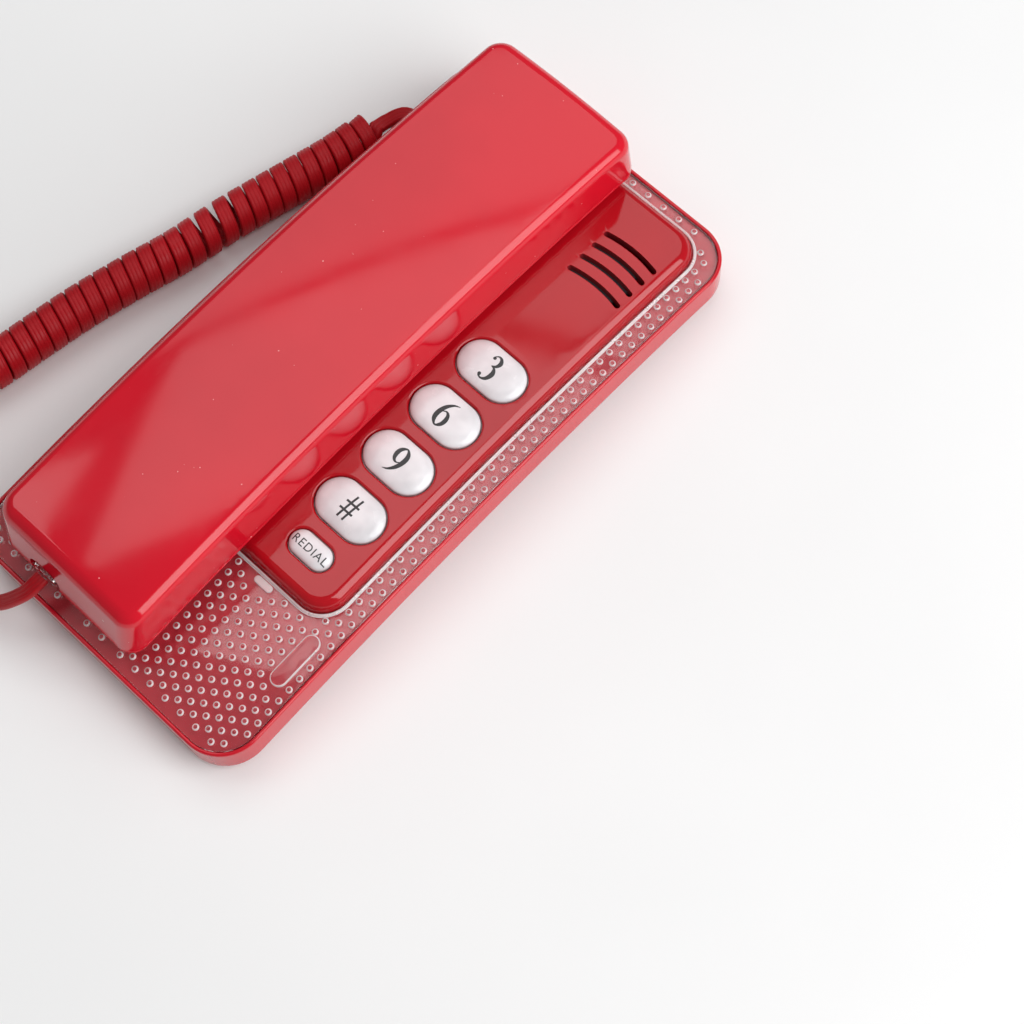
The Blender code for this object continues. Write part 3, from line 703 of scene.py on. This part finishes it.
def make_front_housing():
    """Red deck under the clear cover and the raised plate with key openings, slots and cradle."""
    shell = Shell()

    def plate(inset):
        return outline(FACE_W - 2 * inset, FACE_L - 2 * inset, max(FACE_R - inset, 2.5), (0.0, FACE_Y),
                       12, 20, 38)

    roll, reach = 3.6, 3.2
    profile = [(0.0, Z_DECK), (0.0, Z_FACE - roll)]
    for step in range(1, 11):
        angle = math.pi / 2 * step / 10
        profile.append((reach * (1 - math.cos(angle)), Z_FACE - roll * (1 - math.sin(angle))))
    shell.strips([lift(plate(inset), z) for inset, z in profile])
    deck = outline(INSET_W, INSET_L, INSET_R, (0.0, 0.0), 12, 24, 50)
    # the deck faces use slot 2, the lighter red with painted light for what shines through the clear cover
    shell.strips([lift(deck, Z_DECK - 1.4), lift(deck, Z_DECK)], slot=2)
    shell.fill(deck, Z_DECK, [plate(0.0)], 4.0, slot=2)

    contours = []
    fillet = quarter(0.7, 4)
    for place, width, height, _ in key_layout():
        def key_ring(grow):
            return pill(place, width + 2 * (KEY_FIT + grow), height + 2 * (KEY_FIT + grow), 10, 5)
        rings = [lift(key_ring(inset), Z_FACE - drop) for inset, drop in reversed(fillet)]
        rings = [lift(key_ring(0.0), Z_FACE - OPENING_DEPTH)] + rings
        shell.strips(rings)
        contours.append(key_ring(fillet[0][0]))
    for y in SLOT_ROWS:
        edge = slot_outline(y)
        rings = [lift(slot_outline(y, inset), Z_FACE - drop) for inset, drop in reversed(quarter(0.2, 2))]
        # the slot walls take slot 3, the dark maroon of painted shade inside the slots
        shell.strips([lift(edge, Z_FACE - 3.0), rings[0]], slot=3)
        shell.strips(rings)
        contours.append(slot_outline(y, 0.2))
    centre = (CRADLE_X, CRADLE_Y)

    def bowl(inset):
        return outline(CRADLE_W - 2 * inset, CRADLE_L - 2 * inset, CRADLE_R - inset, centre, 10, 10, 10)

    bowl_profile = [(3.6, Z_CRADLE), (2.6, Z_CRADLE + 0.4), (2.0, Z_CRADLE + 1.2), (1.2, Z_FACE - 2.6),
                    (0.4, Z_FACE - 0.8), (0.0, Z_FACE - 0.25), (-0.5, Z_FACE)]
    shell.strips([lift(bowl(inset), z) for inset, z in bowl_profile])
    contours.append(bowl(-0.5))
    hook = outline(HOOK_W + 1.0, HOOK_L + 2.0, 0.9, (HOOK_X, HOOK_Y), 3, 3, 3)
    shell.fill(bowl(3.6), Z_CRADLE, [hook], 3.0, slot=1)
    shell.strips([lift(hook, Z_CRADLE - 1.0), lift(hook, Z_CRADLE)], slot=1)
    shell.fill(plate(reach), Z_FACE, contours, 3.6)
    front = shell.to_object("front_plate", ["face_red", "cradle_red", "deck_red_painted_light", "slot_painted_shade"], solid=1.1)
    declare(front, "base", "red_shell", "front_housing")
    make_tongue()


def make_tongue():
    """Small guide tongue at the lower edge of the cradle."""
    shell = Shell()
    centre = (CRADLE_X, CRADLE_Y - CRADLE_L / 2 + 1.3)
    rings = []
    for inset, drop in reversed(quarter(0.6, 4)):
        ring = outline(5.2 - 2 * inset, 5.0 - 2 * inset, 1.2 - inset, centre, 5)
        rings.append(lift(ring, Z_FACE - 0.1 - drop))
    rings.insert(0, lift(outline(5.2, 5.0, 1.2, centre, 5), Z_FACE - OPENING_DEPTH))
    shell.strips(rings)
    shell.face(rings[-1])
    shell.face(rings[0][::-1])
    tongue = shell.to_object("cradle_tongue", ["face_red"])
    declare(tongue, "base", "red_shell")


# ---- clear cover ----

DIMPLE_R, DIMPLE_H = 0.98, 0.50
DIMPLE_COLUMN, DIMPLE_PITCH = 2.9, 3.9
DIMPLE_EDGE = 47.1
BEAD = 0.95
COVER_GAP = 0.1


def dimple_places(clear):
    """Staggered columns of dimples over the cover, from its two long edges inwards."""
    places = []
    columns = int(DIMPLE_EDGE / DIMPLE_COLUMN) + 1
    for side in (-1, 1):
        for column in range(columns):
            x = side * (DIMPLE_EDGE - DIMPLE_COLUMN * column)
            if abs(x) < 1.2 and side > 0:
                continue
            for row in range(-26, 27):
                y = DIMPLE_PITCH * (row + 0.5 * (column % 2)) + 0.6
                places.append((x, y))
    places = np.array(places)
    keep = np.ones(len(places), bool)
    for polygon, wanted in clear:
        keep &= inside(places, polygon) == wanted
    return places[keep]


def make_clear_cover():
    """Clear frame over the deck: edge beads, dimples, two bosses and two snap tabs."""
    shell = Shell()

    def window(grow):
        return outline(FACE_W + WINDOW_FIT + 2 * grow, FACE_L + WINDOW_FIT + 2 * grow,
                       FACE_R + WINDOW_FIT / 2 + grow, (0.0, FACE_Y), 12, 20, 38)

    def edge(inset):
        inset = inset + LIP + COVER_GAP
        return outline(BASE_W - 2 * inset, BASE_L - 2 * inset, BASE_R - inset, (0.0, 0.0), 12, 24, 50)

    mouth = (CRADLE_X, MOUTH_Y)
    outer = [(0.0, Z_COVER_LOW), (0.0, Z_COVER - 0.05), (0.1, Z_COVER)]
    shell.strips([lift(edge(inset), z) for inset, z in outer])
    bead = [(0.0, Z_COVER_LOW), (0.0, Z_COVER + 0.30), (0.08, Z_COVER + 0.48), (0.25, Z_COVER + 0.56),
            (0.45, Z_COVER + 0.50), (0.62, Z_COVER + 0.30), (0.75, Z_COVER + 0.08), (BEAD, Z_COVER)]
    # the bead uses slot 1, the whiter cover plastic with painted highlight
    shell.strips([lift(window(grow), z) for grow, z in bead], slot=1)
    rim = [(0.0, Z_COVER_LOW), (0.0, Z_COVER - 0.3), (0.3, Z_COVER)]
    shell.strips([lift(circle(mouth, MOUTH_HOLE_R + grow, 64), z) for grow, z in rim])
    holes = [window(BEAD), circle(mouth, MOUTH_HOLE_R + 0.3, 64)]
    clear = [(edge(1.5), True), (window(BEAD + 0.95), False), (circle(mouth, MOUTH_HOLE_R + 1.5, 64), False)]
    raised = [((side * BOSS_X, BOSS_Y), BOSS_W, BOSS_L, 0.8) for side in (-1, 1)]
    raised += [(place, TAB_W, TAB_L, 0.5) for place in TAB_PLACES]
    for place, width, length, height in raised:
        def pad(inset):
            return pill(place, width - 2 * inset, length - 2 * inset, 8, 4)
        rings = [lift(pad(0.0), Z_COVER)]
        rings += [lift(pad(inset), Z_COVER + height - drop) for inset, drop in reversed(quarter(0.35, 3))]
        # the pads' rounded edges, and the tabs' tops, use slot 1, the whiter cover plastic with painted
        # highlight
        shell.strips(rings, slot=1)
        shell.fill(pad(0.35), Z_COVER + height, spacing=2.5, slot=0 if length > width else 1)
        holes.append(pad(0.0))
        clear.append((pill(place, width + 2.0, length + 2.0), False))
    sides = 16
    for x, y in dimple_places(clear):
        ring = circle((x, y), DIMPLE_R, sides)
        holes.append(ring)
        rings = []
        for share in (1.0, 0.97, 0.89, 0.76, 0.58, 0.34, 0.12):
            z = Z_COVER + DIMPLE_H * math.sqrt(1.0 - share ** 2.2)
            rings.append(lift(circle((x, y), DIMPLE_R * share, sides), z))
        # the dimples' outer rings use slot 1, the whiter cover plastic with painted highlight; their tops
        # stay clear
        shell.strips(rings[:5], slot=1)
        shell.strips(rings[4:])
        shell.face(rings[-1])
    fill_with_dimples(shell, edge(0.1), holes)
    shell.fill(edge(0.0), Z_COVER_LOW, [window(0.0), circle(mouth, MOUTH_HOLE_R, 64)], 4.0, up=False)
    cover = shell.to_object("dimpled_cover", ["cover_clear", "cover_rim_painted_highlight"], angle=28.0)
    declare(cover, "base", "clear_plastic", "clear_cover")


def fill_with_dimples(shell, outer, holes):
    """Fill the cover's top round its holes, testing only the triangles in each hole's own box."""
    places, faces = triangulated(*joined([outer, *holes]))
    middles = np.array([np.mean([places[i] for i in f], axis=0) for f in faces])
    keep = inside(middles, outer)
    for hole in holes:
        low, high = np.min(hole, axis=0), np.max(hole, axis=0)
        near = np.all((middles > low) & (middles < high), axis=1)
        index = np.nonzero(near)[0]
        if len(index):
            keep[index[inside(middles[index], hole)]] = False
    for wanted, corners in zip(keep, faces):
        if wanted:
            shell.face(lift([places[i] for i in corners], Z_COVER))


# ---- keys ----

def key_height(place, width, height, x, y):
    """Height of a key's dome at a point of it."""
    reach = height / 2
    spine = width / 2 - reach
    dx = max(abs(x - place[0]) - spine, 0.0)
    share = min(math.hypot(dx, y - place[1]) / reach, 1.0)
    return Z_KEY_SIDE + (Z_KEY - Z_KEY_SIDE) * math.sqrt(max(1.0 - share ** DOME_POWER, 0.0))


def stroke(points, closed=False, steps=7):
    """Left and right edges of a pen stroke through (x, y, half width) points."""
    line = [np.array(p, float) for p in points]
    if closed:
        ends = [line[-1]] + line + line[:2]
    else:
        ends = [2 * line[0] - line[1]] + line + [2 * line[-1] - line[-2]]
    dense = np.array(spline(ends, steps) + [line[0] if closed else line[-1]])
    along = np.gradient(dense[:, :2], axis=0)
    if closed:
        along[0] = along[-1] = dense[1, :2] - dense[-2, :2]
    along /= np.maximum(np.linalg.norm(along, axis=1), 1e-9)[:, None]
    across = np.stack([-along[:, 1], along[:, 0]], 1) * np.maximum(dense[:, 2], 0.006)[:, None]
    return [[tuple(p + a * s) for s in (-1.0, -0.33, 0.33, 1.0)] for p, a in zip(dense[:, :2], across)]


def bar(x0, y0, x1, y1, half):
    return stroke([(x0, y0, half), ((x0 + x1) / 2, (y0 + y1) / 2, half), (x1, y1, half)], steps=3)


def ball(x, y, radius):
    shape = ((-0.98, 0.15), (-0.7, 0.72), (0.0, 1.0), (0.7, 0.72), (0.98, 0.15))
    return stroke([(x + radius * across, y, radius * half) for across, half in shape], steps=3)


def loop(x, y, rx, ry, thin, thick):
    points = []
    for step in range(12):
        angle = math.tau * step / 12
        points.append((x + rx * math.cos(angle), y + ry * math.sin(angle),
                       thin + (thick - thin) * abs(math.cos(angle)) ** 1.3))
    return stroke(points, closed=True, steps=3)


def turned(parts):
    return [[[(-x, -y) for x, y in row] for row in part] for part in parts]


SIX = [stroke([(0.22, 0.49, 0.008), (0.04, 0.40, 0.035), (-0.12, 0.19, 0.066), (-0.19, -0.08, 0.080),
               (-0.16, -0.31, 0.070), (-0.01, -0.465, 0.028), (0.14, -0.35, 0.062), (0.18, -0.17, 0.074),
               (0.13, 0.01, 0.056), (0.01, 0.085, 0.028), (-0.13, 0.01, 0.012)])]
STAR_RAY = ((0.03, 0.016), (0.18, 0.040), (0.32, 0.066), (0.37, 0.030))
GLYPHS = {
    "0": [loop(0.0, 0.0, 0.17, 0.455, 0.026, 0.078)],
    "1": [bar(0.0, -0.47, 0.0, 0.49, 0.074), bar(-0.19, -0.475, 0.19, -0.475, 0.022),
          stroke([(-0.19, 0.36, 0.012), (-0.10, 0.39, 0.022), (0.02, 0.47, 0.028)])],
    "2": [ball(-0.15, 0.27, 0.070), stroke([(-0.20, 0.30, 0.020), (-0.10, 0.44, 0.030), (0.05, 0.44, 0.052),
                                            (0.14, 0.27, 0.076), (0.07, 0.05, 0.058), (-0.08, -0.18, 0.034),
                                            (-0.21, -0.40, 0.020)]),
          bar(-0.22, -0.43, 0.20, -0.43, 0.068),
          stroke([(0.18, -0.42, 0.04), (0.23, -0.35, 0.025), (0.26, -0.24, 0.010)])],
    "3": [ball(-0.16, 0.33, 0.058), stroke([(-0.20, 0.35, 0.018), (-0.10, 0.46, 0.026), (0.03, 0.44, 0.048),
                                            (0.12, 0.29, 0.070), (0.07, 0.13, 0.048), (-0.06, 0.06, 0.014)]),
          stroke([(-0.05, 0.07, 0.014), (0.08, 0.03, 0.042), (0.16, -0.15, 0.080), (0.10, -0.37, 0.060),
                  (-0.05, -0.465, 0.030), (-0.18, -0.43, 0.030)]), ball(-0.17, -0.38, 0.062)],
    "4": [bar(0.09, -0.5, 0.09, 0.49, 0.074),
          stroke([(0.09, 0.46, 0.03), (-0.09, 0.15, 0.020), (-0.26, -0.19, 0.020)]),
          bar(-0.27, -0.22, 0.26, -0.22, 0.058)],
    "5": [bar(-0.09, 0.42, 0.21, 0.42, 0.066), bar(-0.10, 0.46, -0.17, 0.08, 0.014),
          stroke([(-0.17, 0.05, 0.016), (-0.03, 0.13, 0.028), (0.11, 0.04, 0.062), (0.17, -0.15, 0.080),
                  (0.10, -0.37, 0.060), (-0.05, -0.465, 0.030), (-0.19, -0.43, 0.028)]),
          ball(-0.17, -0.38, 0.062)],
    "6": SIX,
    "7": [bar(-0.17, 0.42, 0.24, 0.42, 0.068),
          stroke([(-0.16, 0.44, 0.03), (-0.20, 0.33, 0.02), (-0.22, 0.23, 0.008)]),
          stroke([(0.22, 0.40, 0.024), (0.09, 0.06, 0.040), (0.01, -0.22, 0.058), (-0.04, -0.49, 0.070)])],
    "8": [loop(0.0, 0.265, 0.125, 0.20, 0.024, 0.062), loop(0.0, -0.22, 0.155, 0.245, 0.026, 0.074)],
    "9": turned(SIX),
    "hash": [bar(-0.14, -0.44, -0.04, 0.44, 0.036), bar(0.07, -0.44, 0.17, 0.44, 0.036),
             bar(-0.25, 0.14, 0.27, 0.14, 0.036), bar(-0.28, -0.15, 0.24, -0.15, 0.036)],
    "star": [stroke([(r * math.cos(a), r * math.sin(a), half) for r, half in STAR_RAY])
             for a in [math.pi / 2 + math.tau * k / 6 for k in range(6)]],
}
DIGIT_SIZE = 8.6
DIGIT_LIFT = 0.03


def make_glyph(name, place, width, height):
    """A digit, star or hash printed on a key's dome."""
    shell = Shell()
    for part in GLYPHS[name]:
        rows = []
        for row in part:
            points = [(place[0] + DIGIT_SIZE * x, place[1] + DIGIT_SIZE * y) for x, y in row]
            rows.append([(x, y, key_height(place, width, height, x, y) + DIGIT_LIFT) for x, y in points])
        for low, high in zip(rows, rows[1:]):
            for i in range(3):
                shell.face((low[i], low[i + 1], high[i + 1], high[i]))
    for face in shell.bm.faces:
        if face.calc_area() > 0 and face.normal.z == 0:
            face.normal_update()
        if face.normal.z < 0:
            face.normal_flip()
    return shell.to_object("legend_" + name, ["print_black"], recalc=False, solid=0.02)


WORD_SIZE = 3.4
WORD_SHIFT = (0.25, -0.3)
WORD_STEP = 0.45


def make_word(word, place, width, height):
    """A small word printed on a key's dome, cut finely enough to follow it."""
    curve = bpy.data.curves.new("word", "FONT")
    curve.body = word.upper()
    curve.align_x, curve.align_y = "CENTER", "CENTER"
    curve.size = WORD_SIZE
    curve.space_character = 1.13
    text = placed("word", curve)
    graph = bpy.context.evaluated_depsgraph_get()
    mesh = bpy.data.meshes.new_from_object(text.evaluated_get(graph))
    bpy.data.objects.remove(text)
    shell = Shell()
    shell.bm.from_mesh(mesh)
    bmesh.ops.remove_doubles(shell.bm, verts=shell.bm.verts, dist=0.001)
    for _ in range(4):
        bmesh.ops.triangulate(shell.bm, faces=shell.bm.faces)
        long_edges = [edge for edge in shell.bm.edges if edge.calc_length() > WORD_STEP]
        bmesh.ops.subdivide_edges(shell.bm, edges=long_edges, cuts=1)
    bmesh.ops.triangulate(shell.bm, faces=shell.bm.faces)
    for vertex in shell.bm.verts:
        x, y = place[0] + vertex.co.x + WORD_SHIFT[0], place[1] + vertex.co.y + WORD_SHIFT[1]
        vertex.co = (x, y, key_height(place, width, height, x, y) + DIGIT_LIFT)
    return shell.to_object("legend_" + word, ["print_black"], recalc=False, solid=0.02)


def make_keys():
    for place, width, height, name in key_layout():
        shell = Shell()

        def key_ring(inset):
            return pill(place, width - 2 * inset, height - 2 * inset, 10, 5)

        rings = [lift(key_ring(-KEY_FLANGE), Z_KEY_LOW), lift(key_ring(-KEY_FLANGE), Z_KEY_FLANGE),
                 lift(key_ring(0.0), Z_KEY_FLANGE), lift(key_ring(0.0), Z_KEY_SIDE)]
        reach = height / 2 - 0.002
        for step in range(1, 13):
            share = math.cos(math.pi / 2 * step / 12.0)
            share = max(share, 0.03)
            inset = reach * (1.0 - share)
            rise = math.sqrt(1.0 - share ** DOME_POWER)
            rings.append(lift(key_ring(inset), Z_KEY_SIDE + (Z_KEY - Z_KEY_SIDE) * rise))
        shell.strips(rings)
        shell.face(rings[-1])
        shell.face(rings[0][::-1])
        key = shell.to_object("pearl_" + name, ["key_pearl"])
        declare(key, "key_" + name, "pearl_key", "key_" + name)
        if name in GLYPHS:
            legend = make_glyph(name, place, width, height)
        else:
            legend = make_word(name, place, width, height)
        declare(legend, "key_" + name, "pearl_key")


# ---- handset ----

def handset_outline(inset, lean=0.0):
    """Outline of the handset; lean draws its lower end in more than its upper end."""
    length = HANDSET_L - 2 * inset - 1.35 * lean
    return outline(HANDSET_W - 2 * inset, length, max(HANDSET_R - inset, 2.2),
                   (HANDSET_X, HANDSET_Y + 0.22 * lean), 12, 14, 48)


def handset_top(x, _):
    """Height of the handset's crowned back."""
    return Z_HANDSET_TOP - HANDSET_CROWN * ((x - HANDSET_X) / (HANDSET_W / 2)) ** 2


def cord_cutter():
    """Rounded cutter for the cord's opening in the lower end."""
    shell = Shell()
    rings = []
    for y in (-106.0, -90.5):
        flat = outline(11.4, 7.3, 3.2, (CORD_X, CORD_Z - 0.25), 6)
        rings.append([(x, y, z) for x, z in flat])
    shell.strips(rings)
    shell.face(rings[0][::-1])
    shell.face(rings[1])
    bmesh.ops.recalc_face_normals(shell.bm, faces=shell.bm.faces)
    return new_object("cutter", shell.bm)


def make_handset_upper():
    shell = Shell()
    low = Z_SEAM + 0.3
    full_lean = 4.4
    rings = [lift(handset_outline(0.35), low), lift(handset_outline(0.1), low + 0.08),
             lift(handset_outline(0.0), low + 0.3)]
    for share in (0.2, 0.4, 0.6, 0.8):
        lean = 3.0 * share
        rings.append([(x, y, low + 0.3 + (handset_top(x, y) - HANDSET_EDGE - low - 0.3) * share)
                      for x, y in handset_outline(0.0, lean)])
    for inset, drop in reversed(quarter(HANDSET_EDGE, 10)):
        lean = 3.0 + (full_lean - 3.0) * (1 - drop / HANDSET_EDGE)
        rings.append([(x, y, handset_top(x, y) - drop) for x, y in handset_outline(inset, lean)])
    shell.strips(rings)
    shell.fill(handset_outline(HANDSET_EDGE, full_lean), handset_top, (), 3.0)
    shell.fill(handset_outline(0.35), low, (), 5.0, up=False)
    cut_shell(shell, [cord_cutter()])
    upper = shell.to_object("handset_back", ["handset_red"])
    declare(upper, "handset", "red_shell", "handset_upper_shell")


def make_handset_lower():
    """Lower shell with the earpiece and mouthpiece caps and their sound holes."""
    shell = Shell()
    profile = [(0.75, Z_HANDSET_LOW), (0.45, Z_HANDSET_LOW + 0.08), (0.15, Z_HANDSET_LOW + 0.3),
               (0.0, Z_HANDSET_LOW + 0.7), (0.0, Z_SEAM - 0.25), (0.08, Z_SEAM - 0.07), (0.3, Z_SEAM)]
    shell.strips([lift(handset_outline(inset), z) for inset, z in profile])
    shell.fill(handset_outline(0.3), Z_SEAM, (), 5.0)
    screws = [circle((HANDSET_X, y), HANDSET_SCREW_R, 24) for y in HANDSET_SCREW_Y]
    for hole in screws:
        shell.strips([lift(hole, Z_HANDSET_LOW), lift(hole, Z_SEAM - 0.6)])
        shell.fill(hole, Z_SEAM - 0.6, (), 3.0, up=False)
    holes = list(screws)
    caps = (((CRADLE_X, CRADLE_Y), EAR_R, Z_EAR), ((CRADLE_X, MOUTH_Y), MOUTH_R, Z_MOUTH))
    for number, (place, radius, low) in enumerate(caps):
        rings = [lift(circle(place, radius + 0.6, 72), Z_HANDSET_LOW),
                 lift(circle(place, radius + 0.15, 72), Z_HANDSET_LOW - 0.25)]
        rings += [lift(circle(place, radius, 72), Z_HANDSET_LOW - 0.6)]
        for inset, drop in reversed(quarter(1.6, 6)):
            rings.append(lift(circle(place, radius - inset, 72), low + drop))
        rings.append(lift(circle(place, radius - CAP_BORDER, 72), low + CAP_STEP))
        shell.strips(rings)
        if number == 0:
            sound = [circle(place, 1.1, 16)]
            sound += [circle(centre, 1.1, 16) for centre in circle(place, 5.5, 6)]
        else:
            sound = [pill((place[0] + offset, place[1]), 1.8, 8.0, 6, 3) for offset in (-4.0, 0.0, 4.0)]
        for hole in sound:
            shell.strips([lift(hole, low + CAP_STEP), lift(hole, low + 1.6)])
            shell.fill(hole, low + 1.6, (), 2.0, slot=1, up=False)
        face = circle(place, radius - CAP_BORDER, 72)
        shell.fill(face, low + CAP_STEP, sound, 3.0, up=False)
        holes.append(circle(place, radius + 0.6, 72))
    shell.fill(handset_outline(0.75), Z_HANDSET_LOW, holes, 5.0, up=False)
    cut_shell(shell, [cord_cutter()])
    lower = shell.to_object("handset_front", ["handset_red", "dark_plastic"])
    declare(lower, "handset", "red_shell", "handset_ear_shell", "handset_grip_shell",
            "handset_mouth_shell")


# ---- the part's own nodes, floor and light ----

NODE_MATERIALS = {
    "foot": "rubber_grey", "case_screw": "steel", "handset_screw": "steel", "hook_plunger": "face_red",
    "hook_switch": "dark_plastic", "keypad_membrane": "rubber_grey", "line_jack": "dark_plastic",
    "cord_jack": "dark_plastic", "handset_jack": "dark_plastic", "main_circuit_board": "board",
    "ringer_buzzer": "dark_plastic", "handset_weight": "steel", "receiver_capsule": "dark_plastic",
    "microphone_capsule": "steel", "cord_plug": "plug_clear",
}


def dress_nodes():
    for name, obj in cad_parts.items():
        for start, material in NODE_MATERIALS.items():
            if name.startswith(start):
                obj.data.materials.clear()
                obj.data.materials.append(MATERIALS[material])


def make_floor():
    bm = bmesh.new()
    bmesh.ops.create_grid(bm, x_segments=1, y_segments=1, size=3.0)
    floor = new_object("floor", bm)
    made, tree, shader = new_material("floor_white")
    tree.links.new(ramp(tree, noise(tree, 6.0), (0.86, 0.86, 0.86), (0.90, 0.90, 0.90), 0.3, 0.7),
                   shader.inputs["Base Color"])
    put(shader, Roughness=0.9, Specular_IOR_Level=0.0)
    floor.data.materials.append(made)


# name, place in metres, turn in degrees, size in metres, radiance
SOFTBOXES = (
    ("near_panel", (-0.308, 0.334, 1.40), (0, 0, 44), (1.15, 0.60), 1.6),
    ("far_panel", (-0.864, 0.909, 1.40), (0, 0, 44), (1.4, 0.90), 1.3),
    ("corner_panel", (-1.01, -0.459, 1.40), (0, 0, 27), (0.60, 0.50), 1.9),
    ("right_panel", (0.95, 0.30, 0.90), (0, 46, 14), (1.50, 1.20), 3.6),
)
SKY_STRENGTH = 0.18


def softbox(name, place, turn, size, radiance):
    """A rectangular light; turn is its rotation in degrees from facing straight down."""
    data = bpy.data.lights.new(name, "AREA")
    data.shape = "RECTANGLE"
    data.size, data.size_y = size
    data.energy = radiance * math.pi * size[0] * size[1]
    lamp = placed(name, data)
    lamp.location = place
    lamp.rotation_euler = [math.radians(angle) for angle in turn]


def make_light():
    """Three overhead panels seen in the handset's back, and a tilted one at the right."""
    world = bpy.data.worlds.new("studio")
    bpy.context.scene.world = world
    world.use_nodes = True
    sky = world.node_tree.nodes["Background"]
    sky.inputs["Color"].default_value = (1.0, 1.0, 1.0, 1.0)
    sky.inputs["Strength"].default_value = SKY_STRENGTH
    for panel in SOFTBOXES:
        softbox(*panel)
    bpy.context.scene.view_settings.view_transform = "Standard"


make_camera()
make_cord()
make_rear_housing()
make_front_housing()
make_clear_cover()
make_keys()
make_handset_upper()
make_handset_lower()
dress_nodes()
make_floor()
make_light()
